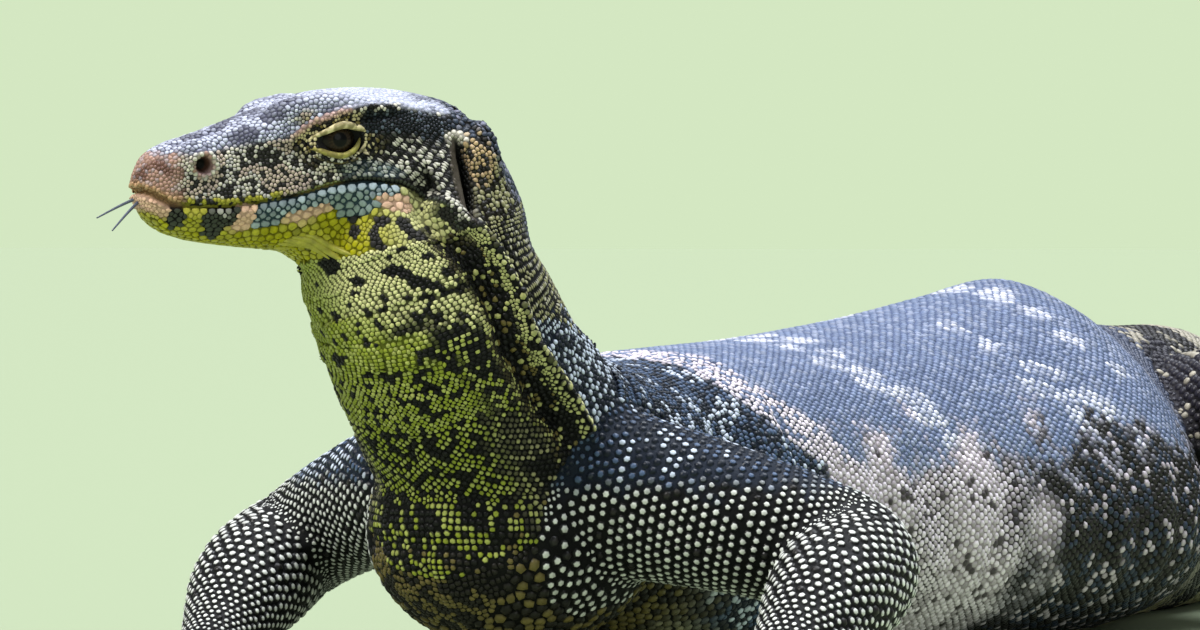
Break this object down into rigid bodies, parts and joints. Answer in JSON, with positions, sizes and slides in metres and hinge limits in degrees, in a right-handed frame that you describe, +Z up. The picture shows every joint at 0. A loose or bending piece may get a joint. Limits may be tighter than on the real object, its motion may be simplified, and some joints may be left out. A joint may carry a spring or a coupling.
{
  "type": "water monitor lizard",
  "caption": "Life-size still model of a water monitor lizard, resting on its belly with forelegs bent, neck raised and head turned to its right, forked tongue just out.",
  "frame": {"origin": "on the floor, at the middle of the flat that the belly rests on", "axes": "+X the animal's left, +Y towards the tail, +Z up, so the head end faces -Y"},
  "size_m": [0.4663, 1.6707, 0.1823],
  "materials": {
    "head_skin": "fine scales, satin",
    "neck_skin": "small scales, satin",
    "back_skin": "beaded scales, satin",
    "dark_skin": "beaded scales, satin",
    "claw": "horn, half gloss",
    "eye": "wet, glossy",
    "eardrum": "thin skin, satin",
    "tongue": "moist"
  },
  "bodies": {
    "root": {"head": "head_skin", "lower_jaw": "head_skin", "neck_upper": "neck_skin", "neck_lower": "neck_skin", "chest": "back_skin", "torso": "back_skin", "belly": "back_skin", "pelvis": "dark_skin", "tail_1": "dark_skin", "tail_2": "dark_skin", "tail_3": "dark_skin", "tail_4": "dark_skin", "tail_5": "dark_skin", "upper_arm_left": "dark_skin", "forearm_left": "dark_skin", "hand_left": "dark_skin", "thigh_left": "dark_skin", "shank_left": "dark_skin", "foot_left": "dark_skin", "upper_arm_right": "dark_skin", "forearm_right": "dark_skin", "hand_right": "dark_skin", "thigh_right": "dark_skin", "shank_right": "dark_skin", "foot_right": "dark_skin", "tongue": "tongue", "eye_left": "eye", "eye_right": "eye", "ear_left": "eardrum", "ear_right": "eardrum", "claw_fore_left_1": "claw", "claw_fore_left_2": "claw", "claw_fore_left_3": "claw", "claw_fore_left_4": "claw", "claw_fore_left_5": "claw", "claw_fore_right_1": "claw", "claw_fore_right_2": "claw", "claw_fore_right_3": "claw", "claw_fore_right_4": "claw", "claw_fore_right_5": "claw", "claw_hind_left_1": "claw", "claw_hind_left_2": "claw", "claw_hind_left_3": "claw", "claw_hind_left_4": "claw", "claw_hind_left_5": "claw", "claw_hind_right_1": "claw", "claw_hind_right_2": "claw", "claw_hind_right_3": "claw", "claw_hind_right_4": "claw", "claw_hind_right_5": "claw"}
  },
  "joints": []
}
